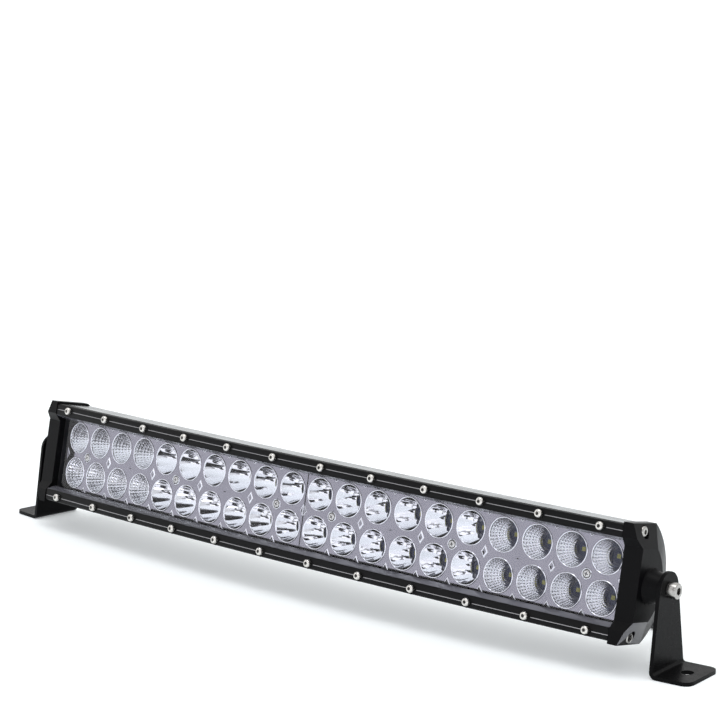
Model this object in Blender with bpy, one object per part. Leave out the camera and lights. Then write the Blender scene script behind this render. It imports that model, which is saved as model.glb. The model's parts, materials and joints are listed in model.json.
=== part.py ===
"""Curved LED light bar, about 22 inches long, on two swivelling foot brackets.

The bar is an aluminium extrusion bent to an arc, convex towards the front (-Y).
Bar space is x along the bar, y backwards, z up, with its origin in the middle of
the bezel rails' front face. A point of the bar is given by its arc length s, its
depth d behind the rails' front face, and its height z. Bar space is then tipped
back about X and lifted, so that both bracket feet stand on z = 0.
"""

import math

import bmesh
import bpy
from mathutils import Matrix, Vector

MM = 0.001

# Driving dimensions, in metres.
LED_PITCH = 25.4 * MM
COLUMNS = 20
ARC_RADIUS = 2440 * MM
TILT = math.radians(-12)
LIFT = 58.63 * MM
ORIGIN_BACK = 25.81 * MM
GAP = 0.3 * MM

# Housing extrusion.
HOUSING_HALF = 255.2 * MM
HALF_HEIGHT = 35.5 * MM
CROWN_DEPTH = 5.15 * MM
FIN_TIP = 41.5 * MM
FIN_ROOT = 38.6 * MM
RIM_DEPTH = 3.3 * MM
MOUTH_HALF = 29.0 * MM
LEDGE_DEPTH = 13.6 * MM
CAVITY_HALF = 26.0 * MM
FLOOR_DEPTH = 29.5 * MM
HOLLOW_DEPTH = 32.6 * MM
HOLLOW_RADIUS = 35.0 * MM
SEGMENTS = 10

# End caps, measured along the tangent at each end of the arc.
CAP_ARC = 257 * MM
CAP_INNER = -0.5 * MM
CAP_RIM = 6.1 * MM
CAP_FACE = 12.5 * MM
CAP_HALF_HEIGHT = 36.8 * MM
CAP_RADIUS = 42.85 * MM
CAP_FACE_RADIUS = 27.8 * MM
CAP_FACE_HALF = 22 * MM
CAP_SCREW_PLACES = ((11 * MM, 31.8 * MM), (11 * MM, -31.8 * MM), (42.4 * MM, 0.0))

# Swivel joints and brackets. The axes are level and follow the bar's ends.
HINGE = Vector((279.4 * MM, 35.0 * MM - ORIGIN_BACK, 51.2 * MM))
HINGE_SPLAY = 0.1053
BOSS_BASE_RADIUS = 11.6 * MM
BOSS_RADIUS = 10.1 * MM
BOSS_TIP_RADIUS = 8.6 * MM
PLATE = 2.5 * MM
BRACKET_TOP = 11.1 * MM
BRACKET_HALF = 18.4 * MM
FOOT_REACH = 24.8 * MM
FOOT_HOLE_OUT = 13.3 * MM
FOOT_HOLE_RADIUS = 4 * MM
BEND_RADIUS = 2 * MM
BOLT_RADIUS = 3 * MM

# Bezel, lens and optics.
RAIL_HALF = 256.0 * MM
SCREW_PITCH = 43.8 * MM
SCREW_ROW = 31.5 * MM
LENS_FRONT = 8.4 * MM
LENS_BACK = 11.4 * MM
CUP_FRONT = 12.5 * MM
CUP_BACK = 27.3 * MM
CUP_RADIUS = 10.65 * MM
CUP_THROAT = 5.0 * MM
MODULE_LENGTH = 10 * LED_PITCH
BOARD_FRONT = 27.6 * MM
BOARD_BACK = 29.2 * MM
REFLECTOR_SCREW_GAPS = (1, 5, 9)

# Cable gland at the rear, beside the right end cap.
GLAND_ARC = 246 * MM
GLAND_ANGLE = math.radians(-20)
GLAND_LENGTH = 49 * MM
CABLE_DIAMETER = 5.5 * MM
WIRE_DIAMETER = 2.3 * MM
CABLE_FLOOR = 3.0 * MM
WIRE_FLOOR = 1.4 * MM

# The cable's route, in metres from the origin, after it leaves the gland. It comes down to
# the floor in one arc, turns and lies behind the bar, where its two wires come out.
CABLE_ROUTE = (
    (0.2410, 0.0440, 0.0222),
    (0.2432, 0.0520, 0.0162),
    (0.2430, 0.0605, 0.0098),
    (0.2365, 0.0680, 0.0050),
    (0.2240, 0.0735, CABLE_FLOOR),
    (0.2050, 0.0792, CABLE_FLOOR),
    (0.1820, 0.0860, CABLE_FLOOR),
    (0.1420, 0.0954, CABLE_FLOOR),
    (0.1140, 0.0974, CABLE_FLOOR),
    (0.0900, 0.0934, CABLE_FLOOR),
    (0.0570, 0.0814, CABLE_FLOOR),
    (0.0200, 0.0704, CABLE_FLOOR),
    (-0.0485, 0.0523, CABLE_FLOOR),
)
RED_ROUTE = (
    (-0.0485, 0.0510, 0.0026),
    (-0.0585, 0.0480, WIRE_FLOOR),
    (-0.0775, 0.0490, WIRE_FLOOR),
    (-0.0965, 0.0465, WIRE_FLOOR),
)
BLACK_ROUTE = (
    (-0.0492, 0.0535, 0.0026),
    (-0.0595, 0.0535, WIRE_FLOOR),
    (-0.0775, 0.0565, WIRE_FLOOR),
    (-0.0955, 0.0610, WIRE_FLOOR),
)

BAR_SPACE = Matrix.Translation((0, -ORIGIN_BACK, LIFT)) @ Matrix.Rotation(TILT, 4, "X")

# Colour, metallic and roughness of each material.
FINISHES = {
    "black_anodised": ((0.035, 0.037, 0.042), 0.8, 0.38),
    "black_powder_coat": ((0.012, 0.012, 0.013), 0.0, 0.42),
    "clear_lens": ((0.80, 0.84, 0.90), 0.0, 0.05),
    "chromed_plastic": ((0.72, 0.70, 0.76), 1.0, 0.10),
    "steel": ((0.62, 0.63, 0.65), 1.0, 0.28),
    "black_rubber": ((0.015, 0.015, 0.016), 0.0, 0.65),
    "circuit_board": ((0.02, 0.03, 0.08), 0.0, 0.45),
    "green_board": ((0.02, 0.16, 0.06), 0.0, 0.40),
    "red_wire": ((0.55, 0.02, 0.02), 0.0, 0.40),
}


def clear_scene():
    for obj in list(bpy.data.objects):
        bpy.data.objects.remove(obj, do_unlink=True)


def material(name):
    made = bpy.data.materials.get(name)
    if made:
        return made
    colour, metallic, roughness = FINISHES[name]
    made = bpy.data.materials.new(name)
    made.use_nodes = True
    shader = made.node_tree.nodes["Principled BSDF"]
    shader.inputs["Base Color"].default_value = (*colour, 1)
    shader.inputs["Metallic"].default_value = metallic
    shader.inputs["Roughness"].default_value = roughness
    return made


def add_object(name, bm, finish=None, sharp=35):
    """Turn a bmesh into an object with outward faces and smooth round sides."""
    bmesh.ops.remove_doubles(bm, verts=bm.verts, dist=1e-6)
    bmesh.ops.recalc_face_normals(bm, faces=bm.faces)
    mesh = bpy.data.meshes.new(name)
    bm.to_mesh(mesh)
    bm.free()
    mesh.shade_smooth()
    mesh.set_sharp_from_angle(angle=math.radians(sharp))
    obj = bpy.data.objects.new(name, mesh)
    bpy.context.scene.collection.objects.link(obj)
    if finish:
        mesh.materials.append(material(finish))
    return obj


def combine(obj, tool, operation="DIFFERENCE"):
    """Cut obj with tool, or join them, and remove the tool."""
    modifier = obj.modifiers.new(operation.lower(), "BOOLEAN")
    modifier.operation = operation
    modifier.object = tool
    bpy.context.view_layer.update()
    shaped = obj.evaluated_get(bpy.context.evaluated_depsgraph_get())
    mesh = bpy.data.meshes.new_from_object(shaped)
    obj.modifiers.clear()
    obj.data = mesh
    mesh.set_sharp_from_angle(angle=math.radians(35))
    bpy.data.objects.remove(tool, do_unlink=True)


# Frames along the bar

def at_arc(s):
    """Frame at arc length s: x along the tangent, y backwards, z up."""
    angle = s / ARC_RADIUS
    turn = Matrix.Rotation(angle, 4, "Z")
    centre = Matrix.Translation((0, ARC_RADIUS, 0))
    return centre @ turn @ centre.inverted()


def cap_frame(side):
    """Frame of an end cap: x outwards along the end's tangent, y back, z up."""
    frame = at_arc(CAP_ARC)
    if side < 0:
        frame = Matrix.Scale(-1, 4, (1, 0, 0)) @ frame
    return frame


def hinge_frame(side):
    """World frame of a swivel joint: x outwards along its axis, z up."""
    outward = Vector((side, HINGE_SPLAY, 0)).normalized()
    up = Vector((0, 0, 1))
    back = up.cross(outward) * side
    axes = Matrix((outward, back, up)).transposed().to_4x4()
    return Matrix.Translation((side * HINGE.x, HINGE.y, HINGE.z)) @ axes


# Shape helpers

def polygon(bm, points):
    return bm.faces.new([bm.verts.new(point) for point in points])


def swept(name, outline, start, end, finish=None, segments=SEGMENTS):
    """Sweep an outline of (d, z) points along the bar's arc from start to end."""
    bm = bmesh.new()
    face = polygon(bm, [(0, d, z) for d, z in outline])
    bm.transform(at_arc(start))
    bmesh.ops.spin(
        bm,
        geom=[face, *face.edges, *face.verts],
        cent=(0, ARC_RADIUS, 0),
        axis=(0, 0, 1),
        angle=(end - start) / ARC_RADIUS,
        steps=segments,
    )
    return add_object(name, bm, finish)


def turned(name, profile, frame, finish=None, steps=16):
    """Turn a profile of (distance along x, radius) points about the frame's x axis."""
    bm = bmesh.new()
    rings = []
    for along, radius in profile:
        angles = [math.tau * i / steps for i in range(steps)]
        places = [(along, radius * math.cos(a), radius * math.sin(a)) for a in angles]
        rings.append([bm.verts.new(p) for p in places] if radius > 0 else [bm.verts.new((along, 0, 0))])
    for first, second in zip(rings, rings[1:]):
        bridge_rings(bm, first, second, steps)
    bm.transform(frame)
    return add_object(name, bm, finish)


def bridge_rings(bm, first, second, steps):
    for i in range(steps):
        j = (i + 1) % steps
        if len(first) == 1:
            bm.faces.new((first[0], second[j], second[i]))
        elif len(second) == 1:
            bm.faces.new((first[i], first[j], second[0]))
        else:
            bm.faces.new((first[i], first[j], second[j], second[i]))


def rod(name, start, end, radius, frame, finish=None, steps=16):
    return turned(name, [(start, 0), (start, radius), (end, radius), (end, 0)], frame, finish, steps)


def block(name, low, high, frame, finish=None):
    bm = bmesh.new()
    bmesh.ops.create_cube(bm, size=1)
    low, high = Vector(low), Vector(high)
    bmesh.ops.scale(bm, vec=high - low, verts=bm.verts)
    bmesh.ops.translate(bm, vec=(low + high) / 2, verts=bm.verts)
    bm.transform(frame)
    return add_object(name, bm, finish)


def inwards(s, d, z):
    """Frame at a point of the bar whose x axis points straight back into it."""
    return at_arc(s) @ Matrix.Translation((0, d, z)) @ Matrix.Rotation(math.pi / 2, 4, "Z")


def arc_points(radius, start, end, count, centre=(CROWN_DEPTH, 0)):
    """Points (d, z) on an arc about centre, between two angles in degrees."""
    points = []
    for i in range(count + 1):
        angle = math.radians(start + (end - start) * i / count)
        points.append((centre[0] + radius * math.cos(angle), centre[1] + radius * math.sin(angle)))
    return points


def mirrored(half):
    """Close an upper half outline, listed from its front to its back, with its mirror image."""
    return half + [(d, -z) for d, z in reversed(half)]


# The bar

def rear_fins():
    """Upper half of the finned rear, from the flat top's edge down to the middle rib."""
    points = arc_points(FIN_TIP, 58.8, 49, 2) + arc_points(FIN_ROOT, 48, 46.4, 1)
    for middle in (44.3, 30.4, 15.4):
        points += arc_points(FIN_TIP, middle + 1.3, middle - 1.3, 1)
        following = {44.3: (42.2, 32.6), 30.4: (28.2, 17.6), 15.4: (13.2, 9.9)}[middle]
        points += arc_points(FIN_ROOT, *following, 3)
    return points + arc_points(FIN_TIP, 9, 3, 1)


def make_housing():
    upper = [
        (RIM_DEPTH, MOUTH_HALF),
        (RIM_DEPTH, HALF_HEIGHT - 0.4 * MM),
        (RIM_DEPTH + 0.4 * MM, HALF_HEIGHT),
    ]
    outside = mirrored(upper + rear_fins())
    floor = [(LEDGE_DEPTH, MOUTH_HALF), (LEDGE_DEPTH, CAVITY_HALF), (FLOOR_DEPTH, CAVITY_HALF)]
    inside = [(d, -z) for d, z in floor] + list(reversed(floor))
    housing = swept("housing", outside + inside, -HOUSING_HALF, HOUSING_HALF, "black_anodised")

    widest = math.degrees(math.acos((HOLLOW_DEPTH - CROWN_DEPTH) / HOLLOW_RADIUS))
    hollow = arc_points(HOLLOW_RADIUS, widest, -widest, 6)
    combine(housing, swept("hollow", hollow, -HOUSING_HALF - MM, HOUSING_HALF + MM))
    for s in screw_stations():
        for z in (SCREW_ROW, -SCREW_ROW):
            combine(housing, rod("tapped_hole", -MM, 10.4 * MM, 1.7 * MM, inwards(s, RIM_DEPTH, z), steps=8))
    for s in reflector_screw_stations():
        combine(housing, rod("board_hole", -MM, 2 * MM, 1.6 * MM, inwards(s, FLOOR_DEPTH, 0), steps=8))
    for side in (1, -1):
        for d, z in CAP_SCREW_PLACES:
            frame = cap_frame(side) @ Matrix.Translation((0, d, z))
            combine(housing, rod("end_hole", -13 * MM, 0, 1.8 * MM, frame, steps=8))
    gland_hole = rod("gland_hole", 30 * MM, 60 * MM, 4.6 * MM, gland_frame(), steps=16)
    combine(housing, gland_hole)
    combine(housing, rod("gland_seat", FIN_ROOT - 0.4 * MM, 60 * MM, 7.4 * MM, gland_frame(), steps=20))
    return housing


def cap_point_height(z):
    """How far the cap's corner facet stands out at height z."""
    drop = max(0.0, abs(z) - CAP_FACE_HALF) / (CAP_HALF_HEIGHT - CAP_FACE_HALF)
    return CAP_FACE - drop * (CAP_FACE - CAP_RIM)


def make_cap(name, side):
    """Faceted end cap: a flat face, a cone behind it and sloped front corners."""
    steps = 22
    rim_angle = math.degrees(math.atan2(CAP_HALF_HEIGHT, 27.1 * MM - CROWN_DEPTH))
    face_angle = math.degrees(math.asin(CAP_FACE_HALF / CAP_FACE_RADIUS))
    front = [(4 * MM, CAP_FACE_HALF), (4 * MM, 22.6 * MM), (-0.5 * MM, 28 * MM), (-0.5 * MM, CAP_HALF_HEIGHT)]
    rim = arc_points(CAP_RADIUS, rim_angle, -rim_angle, steps)
    face = arc_points(CAP_FACE_RADIUS, face_angle, -face_angle, steps)
    lower = [(d, -z) for d, z in front]

    bm = bmesh.new()
    base_rim = [bm.verts.new((CAP_INNER, d, z)) for d, z in rim]
    top_rim = [bm.verts.new((CAP_RIM, d, z)) for d, z in rim]
    top_face = [bm.verts.new((CAP_FACE, d, z)) for d, z in face]
    base_front, top_front = {}, {}
    for end, points in ((1, front), (-1, lower)):
        base_front[end] = [bm.verts.new((CAP_INNER, d, z)) for d, z in points]
        top_front[end] = [bm.verts.new((cap_point_height(z), d, z)) for d, z in points]

    for i in range(steps):
        bm.faces.new((base_rim[i], base_rim[i + 1], top_rim[i + 1], top_rim[i]))
        bm.faces.new((top_rim[i], top_rim[i + 1], top_face[i + 1], top_face[i]))
    for z, end in ((1, 0), (-1, -1)):
        base, top = base_front[z], top_front[z]
        for i in range(3):
            bm.faces.new((base[i], base[i + 1], top[i + 1], top[i]))
        bm.faces.new((base[3], base_rim[end], top_rim[end], top[3]))
        bm.faces.new((*top, top_rim[end], top_face[end]))
    bm.faces.new((base_front[1][0], top_front[1][0], top_front[-1][0], base_front[-1][0]))
    bm.faces.new((top_front[1][0], top_face[0], *top_face[1:], top_front[-1][0]))
    bm.faces.new((*base_front[1], *base_rim, *reversed(base_front[-1])))
    bm.transform(cap_frame(side))
    cap = add_object(name, bm, "black_anodised", sharp=12)

    to_bar = BAR_SPACE.inverted() @ hinge_frame(side)
    boss_end = -PLATE - GAP
    boss = [(-17 * MM, 0), (-17 * MM, BOSS_BASE_RADIUS), (-12.6 * MM, BOSS_BASE_RADIUS), (-11.6 * MM, 10.9 * MM)]
    boss += [(-9.5 * MM, BOSS_RADIUS), (-6.5 * MM, 9.3 * MM)]
    boss += [(boss_end - 0.5 * MM, BOSS_TIP_RADIUS), (boss_end, BOSS_TIP_RADIUS - 0.5 * MM), (boss_end, 0)]
    combine(cap, turned("boss", boss, to_bar, steps=32), "UNION")
    combine(cap, rod("bolt_hole", -18.5 * MM, 0, BOLT_RADIUS + GAP, to_bar, steps=20))
    for d, z in CAP_SCREW_PLACES:
        frame = cap_frame(side) @ Matrix.Translation((0, d, z))
        combine(cap, rod("screw_hole", -2 * MM, 20 * MM, 2 * MM, frame, steps=12))
        combine(cap, rod("screw_recess", 6.0 * MM, 20 * MM, 4.1 * MM, frame, steps=20))
    return cap


def make_end_gasket(name, side):
    """Thin rubber gasket between the housing's end and the cap."""
    half = [(8.8 * MM, 34.8 * MM)] + arc_points(FIN_TIP - 0.6 * MM, 58.2, 1, 9)
    start, end = 255.5 * MM, 256.15 * MM
    if side < 0:
        start, end = -end, -start
    gasket = swept(name, mirrored(half), start, end, "black_rubber", segments=1)
    opening = mirrored([(14.5 * MM, 25 * MM), (31 * MM, 25 * MM), (36.5 * MM, 12 * MM)])
    combine(gasket, swept("opening", opening, start - MM, end + MM, segments=1))
    for d, z in CAP_SCREW_PLACES:
        frame = cap_frame(side) @ Matrix.Translation((0, d, z))
        combine(gasket, rod("gasket_hole", -4 * MM, 2 * MM, 2.1 * MM, frame, steps=10))
    return gasket


def make_rail(name, side):
    """Bezel rail: a screwed flange with a sloped ledge that clamps the lens."""
    outline = [
        (0.5 * MM, 35.2 * MM), (0, 34.7 * MM), (0, 27.2 * MM), (7.2 * MM, 24.8 * MM), (8.1 * MM, 24.8 * MM),
        (8.1 * MM, 28.7 * MM), (3.0 * MM, 28.7 * MM), (3.0 * MM, 35.2 * MM),
    ]
    outline = [(d, side * z) for d, z in outline]
    rail = swept(name, outline, -RAIL_HALF, RAIL_HALF, "black_anodised")
    for s in screw_stations():
        frame = inwards(s, 0, side * SCREW_ROW)
        combine(rail, rod("screw_hole", -MM, 5 * MM, 1.8 * MM, frame, steps=10))
    return rail


def screw_stations():
    return [(i - 5.5) * SCREW_PITCH for i in range(12)]


def reflector_screw_stations():
    """Arc lengths of the reflector screws, three to a module, between columns."""
    return [module + gap * LED_PITCH for module in (-MODULE_LENGTH, 0) for gap in REFLECTOR_SCREW_GAPS]


def screw(name, frame, head, shank, socket, finish, steps=12):
    """Turned screw along the frame's x: the seat is at x = 0, the head before it.

    head is (radius, height), shank (radius, length) and socket (radius, depth).
    """
    head_radius, head_height = head
    shank_radius, length = shank
    socket_radius, socket_depth = socket
    bevel = 0.35 * MM
    profile = [
        (-head_height + socket_depth, 0),
        (-head_height + socket_depth, socket_radius),
        (-head_height, socket_radius),
        (-head_height, head_radius - bevel),
        (-head_height + bevel, head_radius),
        (0, head_radius),
        (0, shank_radius),
        (length, shank_radius),
        (length, 0),
    ]
    return turned(name, profile, frame, finish, steps)


def make_bezel_screws():
    screws = []
    for row, z in (("upper", SCREW_ROW), ("lower", -SCREW_ROW)):
        for i, s in enumerate(screw_stations()):
            frame = inwards(s, -GAP, z)
            name = f"bezel_screw_{row}_{i + 1:02d}"
            head, shank, socket = (2.6 * MM, 2.7 * MM), (1.4 * MM, 13 * MM), (1.3 * MM, 1.5 * MM)
            screws.append(screw(name, frame, head, shank, socket, "steel", steps=8))
    return screws


def make_cap_screws():
    screws = []
    for label, side in (("right", 1), ("left", -1)):
        for i, (d, z) in enumerate(CAP_SCREW_PLACES):
            seat = cap_frame(side) @ Matrix.Translation((6.3 * MM, d, z)) @ Matrix.Rotation(math.pi, 4, "Z")
            name = f"cap_screw_{label}_{i + 1}"
            head, shank, socket = (3.5 * MM, 2.2 * MM), (1.5 * MM, 17 * MM), (1.4 * MM, 1.3 * MM)
            screws.append(screw(name, seat, head, shank, socket, "steel", steps=12))
    return screws


def make_reflector_screws():
    screws = []
    for i, s in enumerate(reflector_screw_stations()):
        frame = inwards(s, 13.9 * MM, 0)
        head, shank, socket = (2.5 * MM, 1.3 * MM), (1.2 * MM, 16.6 * MM), (1.0 * MM, 0.8 * MM)
        screws.append(screw(f"reflector_screw_{i + 1}", frame, head, shank, socket, "steel", steps=8))
    return screws


def make_lens():
    outline = [(LENS_FRONT, 28.4 * MM), (LENS_BACK, 28.4 * MM), (LENS_BACK, -28.4 * MM), (LENS_FRONT, -28.4 * MM)]
    return swept("lens", outline, -254.6 * MM, 254.6 * MM, "clear_lens")


def make_lens_gasket():
    """Rectangular rubber ring behind the lens, on the housing's ledge."""
    front, back = LENS_BACK + GAP, LEDGE_DEPTH - GAP
    outline = [(front, 28.6 * MM), (back, 28.6 * MM), (back, -28.6 * MM), (front, -28.6 * MM)]
    ring = swept("lens_gasket", outline, -255 * MM, 255 * MM, "black_rubber")
    inside = [(front - MM, 26.2 * MM), (back + MM, 26.2 * MM), (back + MM, -26.2 * MM), (front - MM, -26.2 * MM)]
    combine(ring, swept("ring_opening", inside, -254.45 * MM, 254.45 * MM))
    return ring


def module_columns(module):
    """Arc lengths of a module's LED columns; module is 0 on the left, 1 on the right."""
    return [(column - COLUMNS / 2 + 0.5 + 10 * module) * LED_PITCH for column in range(10)]


def make_reflector(name, module):
    """Chromed reflector: a block of twenty conical cups, two rows of ten."""
    start = (module - 1) * MODULE_LENGTH + GAP
    half = 25.5 * MM
    outline = [(CUP_FRONT, half), (CUP_BACK, half), (CUP_BACK, -half), (CUP_FRONT, -half)]
    reflector = swept(name, outline, start, start + MODULE_LENGTH - 2 * GAP, "chromed_plastic", segments=5)
    depth = CUP_BACK - CUP_FRONT
    slope = (CUP_RADIUS - CUP_THROAT) / depth
    cup = [(-MM, 0), (-MM, CUP_RADIUS + slope * MM), (depth + MM, CUP_THROAT - slope * MM), (depth + MM, 0)]
    for s in module_columns(module):
        for z in (LED_PITCH / 2, -LED_PITCH / 2):
            combine(reflector, turned("cup", cup, inwards(s, CUP_FRONT, z), steps=12))
    for gap in REFLECTOR_SCREW_GAPS:
        frame = inwards((module - 1) * MODULE_LENGTH + gap * LED_PITCH, CUP_FRONT, 0)
        combine(reflector, rod("screw_hole", -MM, depth + MM, 1.6 * MM, frame, steps=10))
        combine(reflector, rod("screw_recess", -MM, 1.8 * MM, 2.9 * MM, frame, steps=12))
    return reflector


def make_led_board(name, module):
    """Circuit board with one LED chip behind each cup."""
    start = (module - 1) * MODULE_LENGTH + GAP
    half = 25.5 * MM
    outline = [(BOARD_FRONT, half), (BOARD_BACK, half), (BOARD_BACK, -half), (BOARD_FRONT, -half)]
    board = swept(name, outline, start, start + MODULE_LENGTH - 2 * GAP, "circuit_board", segments=5)
    size = 1.75 * MM
    for s in module_columns(module):
        for z in (LED_PITCH / 2, -LED_PITCH / 2):
            frame = inwards(s, BOARD_FRONT, z)
            chip = block("chip", (-1.3 * MM, -size, -size), (0.5 * MM, size, size), frame)
            combine(board, chip, "UNION")
    for gap in REFLECTOR_SCREW_GAPS:
        frame = inwards((module - 1) * MODULE_LENGTH + gap * LED_PITCH, BOARD_FRONT, 0)
        combine(board, rod("screw_hole", -MM, 4 * MM, 1.6 * MM, frame, steps=10))
    return board


def make_driver_board():
    """Driver board in the rear hollow, with its coil, capacitors and chip."""
    frame = at_arc(150 * MM)
    low, high = (-45 * MM, 33.3 * MM, -16 * MM), (45 * MM, 34.7 * MM, 16 * MM)
    board = block("driver_board", low, high, frame, "green_board")
    parts = (
        ("coil", (-36, 34, -6), (-24, 38.6, 6)),
        ("controller", (-14, 34, -4), (-6, 35.8, 4)),
        ("capacitor_1", (4, 34, -7), (12, 38.2, 0)),
        ("capacitor_2", (16, 34, -7), (24, 38.2, 0)),
        ("terminal", (32, 34, -5), (41, 37.5, 5)),
    )
    for name, low, high in parts:
        low, high = [v * MM for v in low], [v * MM for v in high]
        combine(board, block(name, low, high, frame), "UNION")
    return board


# Cable gland and cable

def gland_frame():
    """Bar-space frame of the gland: its x points out of the rear, from the crown's centre."""
    turn = Matrix.Rotation(math.pi / 2, 4, "Z") @ Matrix.Rotation(-GLAND_ANGLE, 4, "Y")
    return at_arc(GLAND_ARC) @ Matrix.Translation((0, CROWN_DEPTH, 0)) @ turn


def make_gland():
    profile = [
        (34 * MM, 0), (34 * MM, 4.2 * MM), (FIN_ROOT, 4.2 * MM), (FIN_ROOT, 6.6 * MM), (43 * MM, 6.6 * MM),
        (43.6 * MM, 6.0 * MM), (43.6 * MM, 4.4 * MM), (GLAND_LENGTH, 3.4 * MM), (GLAND_LENGTH, 0),
    ]
    return turned("cable_gland", profile, gland_frame(), "black_rubber", steps=16)


def make_tube(name, points, diameter, finish):
    """Round tube along a line of points."""
    data = bpy.data.curves.new(name, "CURVE")
    data.dimensions = "3D"
    data.bevel_depth = diameter / 2
    data.bevel_resolution = 2
    data.render_resolution_u = 0
    data.use_fill_caps = True
    spline = data.splines.new("POLY")
    spline.points.add(len(points) - 1)
    for target, place in zip(spline.points, points):
        target.co = (*place, 1)
    data.materials.append(material(finish))
    tube = bpy.data.objects.new(name, data)
    bpy.context.scene.collection.objects.link(tube)
    return tube


def smooth_route(route, spacing, before=None):
    """Evenly spaced points of a Catmull-Rom curve through the route.

    before is a point that the curve comes from, which sets its first direction.
    """
    route = [Vector(p) for p in route]
    ends = [before or 2 * route[0] - route[1], *route, 2 * route[-1] - route[-2]]
    fine = []
    for a, b, c, d in zip(ends, ends[1:], ends[2:], ends[3:]):
        for i in range(24):
            t = i / 24
            fine.append(0.5 * (2 * b + (c - a) * t + (2 * a - 5 * b + 4 * c - d) * t**2
                               + (3 * b - a - 3 * c + d) * t**3))
    fine.append(route[-1])
    lengths = [0.0]
    for p, q in zip(fine, fine[1:]):
        lengths.append(lengths[-1] + (q - p).length)
    count = max(2, round(lengths[-1] / spacing))
    points, k = [], 0
    for i in range(count + 1):
        wanted = lengths[-1] * i / count
        while k < len(fine) - 2 and lengths[k + 1] < wanted:
            k += 1
        share = (wanted - lengths[k]) / (lengths[k + 1] - lengths[k])
        points.append(fine[k].lerp(fine[k + 1], min(1.0, share)))
    return points


def make_cable():
    mouth = BAR_SPACE @ gland_frame()
    leave = mouth @ Vector((GLAND_LENGTH + GAP, 0, 0))
    ahead = mouth @ Vector((GLAND_LENGTH + 4 * MM, 0, 0))
    jacket = [leave, *smooth_route((ahead, *CABLE_ROUTE), 11 * MM, before=leave)]
    make_tube("cable_jacket", jacket, CABLE_DIAMETER, "black_rubber")
    make_tube("wire_red", smooth_route(RED_ROUTE, 6 * MM), WIRE_DIAMETER, "red_wire")
    make_tube("wire_black", smooth_route(BLACK_ROUTE, 6 * MM), WIRE_DIAMETER, "black_rubber")


# Brackets

def bracket_stations():
    """Stations down the bracket: outer face point, inner face point, half width.

    Points are (x out along the axis, z up) from the joint.
    """
    bend_height = -HINGE.z + PLATE + BEND_RADIUS
    corner_distance = math.hypot(BRACKET_HALF, bend_height)
    tangent = math.pi - math.acos(BRACKET_TOP / corner_distance) - math.atan2(BRACKET_HALF, -bend_height)
    stations = []
    for i in range(10):
        angle = tangent * i / 9
        z = BRACKET_TOP * math.cos(angle)
        stations.append(((0, z), (-PLATE, z), BRACKET_TOP * math.sin(angle)))
    for i in range(7):
        angle = math.pi / 2 * i / 6
        across, down = math.cos(angle), math.sin(angle)
        outer = (BEND_RADIUS - BEND_RADIUS * across, bend_height - BEND_RADIUS * down)
        inner = (BEND_RADIUS - (BEND_RADIUS + PLATE) * across, bend_height - (BEND_RADIUS + PLATE) * down)
        stations.append((outer, inner, BRACKET_HALF))
    corner = 6 * MM
    for i in range(7):
        angle = math.pi / 2 * i / 6
        x = FOOT_REACH - corner + corner * math.sin(angle)
        half = BRACKET_HALF - corner + corner * math.cos(angle)
        stations.append(((x, PLATE - HINGE.z), (x, -HINGE.z), half))
    return stations


def make_bracket(name, side):
    bm = bmesh.new()
    rings = []
    for outer, inner, half in bracket_stations():
        if half == 0:
            near = [bm.verts.new((x, 0, z)) for x, z in (outer, inner)]
            rings.append((near[0], near[0], near[1], near[1]))
            continue
        places = ((outer, half), (outer, -half), (inner, -half), (inner, half))
        rings.append(tuple(bm.verts.new((x, y, z)) for (x, z), y in places))
    for first, second in zip(rings, rings[1:]):
        for i in range(4):
            j = (i + 1) % 4
            corners = list(dict.fromkeys((first[i], first[j], second[j], second[i])))
            bm.faces.new(corners)
    bm.faces.new(rings[-1])
    bracket = add_object(name, bm, "black_powder_coat", sharp=30)
    across = Matrix.Identity(4)
    combine(bracket, rod("pivot_hole", -10 * MM, 10 * MM, BOLT_RADIUS + 0.35 * MM, across, steps=24))
    upright = Matrix.Translation((FOOT_HOLE_OUT, 0, 0)) @ Matrix.Rotation(math.pi / 2, 4, "Y")
    combine(bracket, rod("foot_hole", 30 * MM, 70 * MM, FOOT_HOLE_RADIUS, upright, steps=28))

    pivot = bpy.data.objects.new(name + "_pivot", None)
    bpy.context.scene.collection.objects.link(pivot)
    pivot.matrix_world = hinge_frame(side)
    bracket.parent = pivot
    return bracket


def make_bracket_bolt(name, side):
    """Socket head bolt that holds a bracket to its end cap's boss."""
    frame = BAR_SPACE.inverted() @ hinge_frame(side) @ Matrix.Translation((GAP, 0, 0))
    frame = frame @ Matrix.Rotation(math.pi, 4, "Z")
    head, shank, socket = (5 * MM, 6 * MM), (BOLT_RADIUS, 17.5 * MM), (2.6 * MM, 3 * MM)
    return screw(name, frame, head, shank, socket, "steel", steps=24)


def main():
    clear_scene()
    bar = bpy.data.objects.new("bar", None)
    bpy.context.scene.collection.objects.link(bar)
    bar.matrix_world = BAR_SPACE

    pieces = [make_housing(), make_lens(), make_lens_gasket(), make_driver_board(), make_gland()]
    for label, side in (("upper", 1), ("lower", -1)):
        pieces.append(make_rail(f"bezel_rail_{label}", side))
    for label, side in (("right", 1), ("left", -1)):
        pieces.append(make_cap(f"end_cap_{label}", side))
        pieces.append(make_end_gasket(f"end_gasket_{label}", side))
        pieces.append(make_bracket_bolt(f"bracket_bolt_{label}", side))
        make_bracket(f"bracket_{label}", side)
    for label, module in (("left", 0), ("right", 1)):
        pieces.append(make_reflector(f"reflector_{label}", module))
        pieces.append(make_led_board(f"led_board_{label}", module))
    pieces += make_bezel_screws() + make_cap_screws() + make_reflector_screws()
    for piece in pieces:
        piece.parent = bar
    make_cable()


main()
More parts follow.
